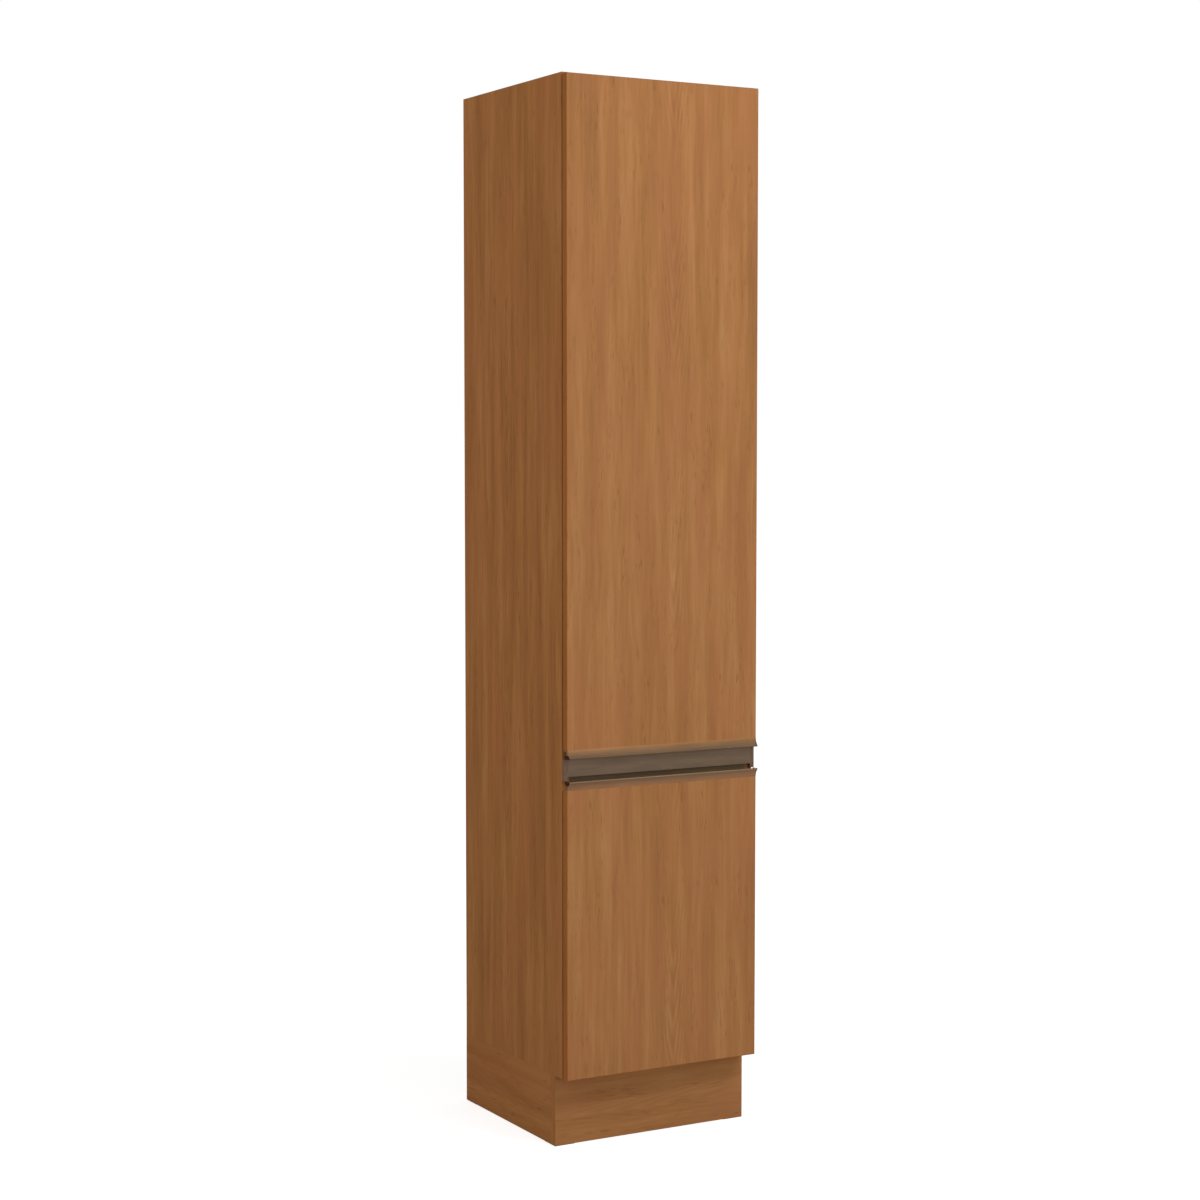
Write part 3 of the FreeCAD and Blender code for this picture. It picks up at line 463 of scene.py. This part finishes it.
def bare_hardboard():
    """Pressed hardboard from behind: brown wood fibre with the faint mesh of the press screen."""
    material, tree, shader, place = new_material("pressed_hardboard")
    fibre = add(tree, "TexNoise", {"Vector": cells(tree, place, (3, 3, 3)), "Scale": 1.0,
                                   "Detail": 4.0, "Roughness": 0.7})
    clouds = add(tree, "TexNoise", {"Vector": cells(tree, place, (60, 60, 60)), "Scale": 1.0})
    tone = add(tree, "Math", {0: clouds, 1: 0.4, 2: fibre}, operation="MULTIPLY_ADD")
    shown = add(tree, "MapRange", {"Value": tone, "From Min": 0.4, "From Max": 1.0})
    mixed = add(tree, "Mix", {"Factor": shown, "A": linear(FIBRE_DARK), "B": linear(FIBRE_PALE)},
                data_type="RGBA")
    # The press screen's mesh is about 1.5 mm; it is drawn at twice that so that it shows.
    turn = SCREEN_PITCH_MM / (2 * math.pi)
    mesh = add(tree, "SeparateXYZ", {"Vector": cells(tree, place, (turn, turn, turn))})
    waves = [add(tree, "Math", {0: mesh.outputs[axis]}, operation="SINE") for axis in (X, Z)]
    weave = add(tree, "Math", {0: waves[0], 1: waves[1]}, operation="MULTIPLY")
    height = add(tree, "Math", {0: weave, 1: 0.3, 2: fibre}, operation="MULTIPLY_ADD")
    bump = add(tree, "Bump", {"Height": height, "Strength": 0.4, "Distance": 0.15 * MM})
    connect(tree, shader, {"Base Color": mixed, "Roughness": 0.8, "IOR": 1.45, "Normal": bump})
    return material


back_print = wood_print("printed_hardboard", Z, X, middle=0.05)
hardboard = bare_hardboard()
for node in ("back_panel_lower", "back_panel_upper"):
    shape = node_shape(node)
    shape.normal_update()
    for part in shape.faces:
        part.material_index = 0 if part.normal.y < -FACING else 1
    panel = make_piece(node + "_sheet", shape, [back_print, hardboard], "carcass")
    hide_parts(node)
finish_node("back_joining_strip", brown_cap)

# ------------------------------------------------------------------ plinth
# A frame of the same printed chipboard with its grain lying across. It is screwed to beech
# blocks in its corners and stands on nylon corner glides; the front is set back for the feet.
NYLON = "#3A3733"
SCREW_SHARP_FROM = 35
WOOD_SCREW_CROSS = (4.4 * MM, 1.0 * MM, 1.4 * MM)


def solid_boxes(shape):
    """The lowest and highest corner of each separate solid in a bmesh, in the mesh's own order."""
    reached = set()
    boxes = []
    for first in shape.verts:
        if first in reached:
            continue
        reached.add(first)
        stack = [first]
        corners = []
        while stack:
            vert = stack.pop()
            corners.append(vert.co.copy())
            for edge in vert.link_edges:
                other = edge.other_vert(vert)
                if other not in reached:
                    reached.add(other)
                    stack.append(other)
        boxes.append((Vector(map(min, *corners)), Vector(map(max, *corners))))
    return boxes


def cross_recessed(node, body, axis, side, recess):
    """Plated screws with a cross recess in the face that looks along axis towards side. The
    recess is given as its span, the width of its arms and its depth."""
    span, width, depth = recess
    shape = node_shape(node)
    cutter = bmesh.new()
    u, v = sorted({X, Y, Z} - {axis})
    for low, high in solid_boxes(shape):
        face = high[axis] if side > 0 else low[axis]
        ends = sorted((face - side * depth, face + side * MM))
        middle = (low + high) / 2
        for half_u, half_v in ((span / 2, width / 2), (width / 2, span / 2)):
            outline = rounded(middle[u] - half_u, middle[u] + half_u, middle[v] - half_v,
                              middle[v] + half_v, (0, 0, 0, 0))
            prism(cutter, outline, (u, v, axis), *ends)
    piece = make_piece(node + "_slotted", shape, [bright_steel], body)
    tool_mesh = bpy.data.meshes.new("recess_cutter")
    cutter.to_mesh(tool_mesh)
    cutter.free()
    tool = bpy.data.objects.new("recess_cutter", tool_mesh)
    bpy.context.scene.collection.objects.link(tool)
    cut = piece.modifiers.new("recess", "BOOLEAN")
    cut.operation = "DIFFERENCE"
    cut.solver = "EXACT"
    cut.use_self = True
    cut.object = tool
    result = bpy.data.meshes.new_from_object(piece.evaluated_get(bpy.context.evaluated_depsgraph_get()))
    piece.modifiers.clear()
    piece.data = result
    result.shade_smooth()
    result.set_sharp_from_angle(angle=math.radians(SCREW_SHARP_FROM))
    bpy.data.objects.remove(tool)
    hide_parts(node)


plinth_print_front = wood_print("satin_melamine_print_plinth_front", X, Z, middle=0.05, figure=0.5,
                                contrast=0.85)
# The plinth's sides take the same painted shade as the upright sides.
plinth_print_side_painted_shade = wood_print("satin_melamine_print_plinth_sides_painted_shade", Y, Z, middle=0.04, figure=0.6,
                               shade=SIDE_PAINTED_SHADE)

board("plinth_front", "carcass", Y, plinth_print_front, [(X, -1), (X, 1)], edge_print_upright)
board("plinth_back", "carcass", Y, plinth_print_front, [], edge_print_level)
for node in ("plinth_left", "plinth_right"):
    board(node, "carcass", X, plinth_print_side_painted_shade, [], edge_print_deep)
finish_node("plinth_blocks", solid_beech("planed_beech", Z))
finish_node("plinth_block_screws", bright_steel)
cross_recessed("plinth_fixing_screws", "carcass", Z, 1, WOOD_SCREW_CROSS)
finish_node("floor_glides", moulded_plastic("moulded_black_nylon", NYLON, rough=0.5, grain_mm=0.6,
                                            ior=1.53))

# ------------------------------------------------------------------ tool hooks and wall bracket
# Steel wire hooks on pressed plates hold brooms by the left side. A folded steel angle under
# the top takes the screw that keeps the cupboard from tipping.
HOOK_PALE = "#B8B9B6"
HOOK_DARK = "#9A9C9A"
SMALL_SCREW_CROSS = (4.0 * MM, 0.9 * MM, 1.3 * MM)

finish_node("tool_hooks", plated_steel("nickel_plated_wire", HOOK_PALE, HOOK_DARK, low_rough=0.16,
                                       high_rough=0.26))
cross_recessed("tool_hook_screws", "carcass", X, 1, SMALL_SCREW_CROSS)
finish_node("wall_bracket", bright_steel)
cross_recessed("wall_bracket_screws", "carcass", Z, -1, SMALL_SCREW_CROSS)

# ------------------------------------------------------------------ concealed hinges
# Pressed steel arms, links and cups with a bright nickel plating. The arm is clamped on a
# plate that is screwed to the side, and the cup is let into the door.
NICKEL_PALE = "#C9C5BC"
NICKEL_DARK = "#A9A59C"

nickel = plated_steel("nickel_plated_pressed_steel", NICKEL_PALE, NICKEL_DARK, low_rough=0.2,
                      high_rough=0.34, marks_mm=(0.4, 3.0, 3.0))
for node in ("hinge_plates", "hinge_arms", "hinge_arm_pins"):
    finish_node(node, nickel)
for screws in ("hinge_plate_screws", "hinge_arm_screws"):
    cross_recessed(screws, "carcass", X, -1, WOOD_SCREW_CROSS)
for door in ("upper", "lower"):
    for part in ("cups", "cup_pins", "outer_links", "inner_links"):
        finish_node(f"hinge_{part}_{door}", nickel)
    cross_recessed("hinge_cup_screws_" + door, door + "_door", Y, 1, WOOD_SCREW_CROSS)

# ------------------------------------------------------------------ doors
# Each door is one board of the printed chipboard with upright grain. Edging covers three
# edges; the fourth carries the grip. Cups for the hinges are bored into the rear face.
# The doors' edging is printed darker and more saturated than the carcass edging. Part of that darkening
# is painted shade for the shaded side edges of the doors.
DOOR_EDGING_PAINTED_SHADE = (0.9, 0.72, 0.45)

door_print = wood_print("satin_melamine_print_doors", Z, X, middle=0.02)
door_edge_print_painted_shade = wood_print("abs_edging_print_doors_painted_shade", Z, X, figure=0.0, shade=DOOR_EDGING_PAINTED_SHADE)
for door, far_side in (("upper", 1), ("lower", -1)):
    board("door_" + door, door + "_door", Y, door_print, [(X, -1), (X, 1), (Z, far_side)],
          door_edge_print_painted_shade)

# ------------------------------------------------------------------ grips and recess cover
# Extruded aluminium, anodised bronze and satin, caps the two door edges at the finger recess
# with a lip that curves out to the fingers. A third extrusion covers the rail between the
# doors. Moulded plastic caps close the ends of all three.
BRONZE = "#6B5A4A"
# The lips' tip colours are painted light. The upper tip, which faces the lamps above, is darkened as
# painted shade, and the lower tip is lightened and greyed as a painted highlight.
LIP_TIP_PAINTED_SHADE_UPPER = "#69533F"
LIP_TIP_PAINTED_HIGHLIGHT_LOWER = "#7D6B55"
# Towards its door each lip turns into a warm brown. This is a painted reflection of the wood, and on the
# lower lip also painted shade under its tip.
LIP_PAINTED_REFLECTION_UPPER = "#9A724C"
LIP_PAINTED_REFLECTION_AND_SHADE_LOWER = "#876144"
CAP_BROWN = "#745A49"
# Over the nose next to each grip's tip, the end caps are near black. This is painted shade for the shadow
# inside the open end of the lip. Further in, the caps turn the lip's brown.
CAP_PAINTED_SHADE = "#2E1503"
CAP_LIP = "#7A5A3C"
CAP_PAINTED_SHADE_DEPTH = 6.5 * MM
CAP_BLEND = 1.5 * MM
BLACK = "#000000"


def bronze_aluminium(name, colour, painted_reflection_and_shade=None, tip_height=0.0, board_height=1.0, painted_blend_power=1.0):
    """Extruded aluminium, etched satin and anodised bronze: brown metal whose fine die lines
    run along the length and draw the highlight out. Between the given heights of the lip's tip and
    of the board its colour turns, by the given power, into a second colour, which is a painted
    reflection of the wood and, on the lower grip, painted shade."""
    material, tree, shader, place = new_material(name)
    height = add(tree, "SeparateXYZ", {"Vector": place}).outputs[Z]
    near = add(tree, "MapRange", {"Value": height, "From Min": tip_height, "From Max": board_height})
    near = add(tree, "Math", {0: near, 1: painted_blend_power}, operation="POWER")
    with_painted_reflection_and_shade = add(tree, "Mix", {"Factor": near, "A": linear(colour), "B": linear(painted_reflection_and_shade or colour)},
                 data_type="RGBA")
    clouds = add(tree, "TexNoise", {"Vector": cells(tree, place, (70, 12, 12)), "Scale": 1.0})
    clouds = add(tree, "MapRange", {"Value": clouds, "From Min": NOISE_LOW, "From Max": NOISE_HIGH,
                                    "To Max": 0.16})
    clouded = add(tree, "Mix", {"Factor": clouds, "A": with_painted_reflection_and_shade, "B": linear(BLACK)},
                  data_type="RGBA")
    lines = add(tree, "TexNoise", {"Vector": cells(tree, place, (90, 0.5, 0.5)), "Scale": 1.0,
                                   "Roughness": 0.6})
    rough = add(tree, "MapRange", {"Value": lines, "From Min": NOISE_LOW, "From Max": NOISE_HIGH,
                                   "To Min": 0.62, "To Max": 0.72})
    bump = add(tree, "Bump", {"Height": lines, "Strength": 0.12, "Distance": 0.03 * MM})
    connect(tree, shader, {"Base Color": clouded, "Metallic": 1.0, "Roughness": rough,
                           "Normal": bump})
    return material


finish_node("recess_cover", bronze_aluminium("bronze_anodised_aluminium_cover", BRONZE))
finish_node("recess_cover_caps", moulded_plastic("moulded_brown_abs", CAP_BROWN, rough=0.48, grain_mm=0.5,
                                                 ior=1.53))
# The upper grip's lip hangs from its door and the lower one's stands up, so the tips lie at
# opposite ends of their boxes.
# Each grip's lip gets its painted tip colour and its painted reflection of the wood, with painted shade
# on the lower one.
for door, end, inwards, lip_tip, lip_painted_reflection_and_shade, painted_blend_power in (
        ("upper", 0, 1, LIP_TIP_PAINTED_SHADE_UPPER, LIP_PAINTED_REFLECTION_UPPER, 2.5),
        ("lower", 1, -1, LIP_TIP_PAINTED_HIGHLIGHT_LOWER, LIP_PAINTED_REFLECTION_AND_SHADE_LOWER, 0.55)):
    grip = "grip_profile_" + door
    caps = "grip_end_caps_" + door
    finish_node(grip, bronze_aluminium(
        f"bronze_anodised_aluminium_{door}_grip", lip_tip, lip_painted_reflection_and_shade,
        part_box(grip)[end][Z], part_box("door_" + door)[end][Z], painted_blend_power))
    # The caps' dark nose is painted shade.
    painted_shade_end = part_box(caps)[end][Z] + inwards * CAP_PAINTED_SHADE_DEPTH
    finish_node(caps, moulded_plastic(
        f"moulded_polypropylene_with_painted_shade_{door}", CAP_PAINTED_SHADE, rough=0.5, grain_mm=0.5, ior=1.49,
        second=CAP_LIP, near=painted_shade_end, far=painted_shade_end + inwards * CAP_BLEND))

# ------------------------------------------------------------------ door bumpers
# Flat round buffers of clear soft polyurethane, cast and self-adhesive, are stuck on the front
# edge of the left side near the doors' corners. They take the shock when a door closes.
BUFFER_CLEAR = "#B9B4A8"

finish_node("door_bumpers", moulded_plastic("cast_clear_polyurethane", BUFFER_CLEAR, rough=0.35,
                                            grain_mm=0.8, ior=1.5))

# ------------------------------------------------------------------ floor, light and camera
# A pale studio floor that runs out to white, a large soft lamp high in front on the right, one
# straight in front that lights under the doors, a weaker one on the left, and the camera.
FLOOR_SIZE = 60.0
FLOOR_GREY = "#C6C6C6"
NEAR_GLOW, FAR_GLOW = 0.72, 0.79
NEAR_REACH, FAR_REACH = 0.5, 4.0
WHITE = "#FFFFFF"
SKY_LIGHT = 0.42
CAMERA_PLACE = (-2.2301, -3.9291, 1.2609)
CAMERA_PITCH = -3.6285
CAMERA_YAW = 29.360
CAMERA_LENS = 72.376
CAMERA_SENSOR = 36.0


def shows_background(tree):
    """1 for a ray that shows the background, straight, in a reflection or through glass, and 0
    for one that only lights."""
    path = add(tree, "LightPath")
    seen = add(tree, "Math", {0: path.outputs["Is Camera Ray"], 1: path.outputs["Is Glossy Ray"]},
               operation="MAXIMUM")
    return add(tree, "Math", {0: seen, 1: path.outputs["Is Transmission Ray"]}, operation="MAXIMUM")


def lamp(name, place, target, size, power):
    """A square soft lamp that looks at a point."""
    light = bpy.data.lights.new(name, "AREA")
    light.shape = "SQUARE"
    light.size = size
    light.energy = power
    holder = bpy.data.objects.new(name, light)
    holder.location = place
    holder.rotation_euler = (Vector(target) - Vector(place)).to_track_quat("-Z", "Y").to_euler()
    bpy.context.scene.collection.objects.link(holder)


floor_shape = bmesh.new()
bmesh.ops.create_grid(floor_shape, x_segments=1, y_segments=1, size=FLOOR_SIZE / 2)
floor_mesh = bpy.data.meshes.new("floor")
floor_shape.to_mesh(floor_mesh)
floor_shape.free()
floor = bpy.data.objects.new("floor", floor_mesh)
bpy.context.scene.collection.objects.link(floor)
floor_paint = bpy.data.materials.new("pale_studio_floor")
floor_paint.use_nodes = True
tree = floor_paint.node_tree
tree.nodes.clear()
lit = add(tree, "BsdfDiffuse", {"Color": linear(FLOOR_GREY)})
# The lamps reach only the floor near the cupboard, so the glow grows with the distance.
away = add(tree, "VectorMath", {0: add(tree, "TexCoord").outputs["Object"]}, operation="LENGTH")
evened = add(tree, "MapRange", {"Value": away.outputs["Value"], "From Min": NEAR_REACH,
                                "From Max": FAR_REACH, "To Min": NEAR_GLOW, "To Max": FAR_GLOW})
glow_strength = add(tree, "Math", {0: shows_background(tree), 1: evened}, operation="MULTIPLY")
glow = add(tree, "Emission", {"Color": linear(WHITE), "Strength": glow_strength})
both = add(tree, "AddShader", {0: lit, 1: glow})
add(tree, "OutputMaterial", {"Surface": both})
floor_mesh.materials.append(floor_paint)

world = bpy.data.worlds.new("studio")
bpy.context.scene.world = world
world.use_nodes = True
tree = world.node_tree
tree.nodes.clear()
strength = add(tree, "MapRange", {"Value": shows_background(tree), "To Min": SKY_LIGHT, "To Max": 1.0})
sky = add(tree, "Background", {"Color": linear(WHITE), "Strength": strength})
add(tree, "OutputWorld", {"Surface": sky})

lamp("key_lamp", place=(1.2, -2.2, 3.4), target=(0.0, 0.0, 1.5), size=1.8, power=61)
lamp("front_lamp", place=(0.9, -4.2, 1.3), target=(0.0, 0.0, 1.1), size=2.2, power=37)
lamp("fill_lamp", place=(-3.0, -0.8, 3.0), target=(0.0, 0.0, 1.1), size=1.8, power=34.5)

camera_data = bpy.data.cameras.new("camera")
camera_data.sensor_width = CAMERA_SENSOR
camera_data.lens = CAMERA_LENS
camera = bpy.data.objects.new("camera", camera_data)
camera.location = CAMERA_PLACE
camera.rotation_euler = (math.radians(90 + CAMERA_PITCH), 0.0, -math.radians(CAMERA_YAW))
bpy.context.scene.collection.objects.link(camera)
bpy.context.scene.camera = camera
bpy.context.scene.view_settings.view_transform = "Standard"
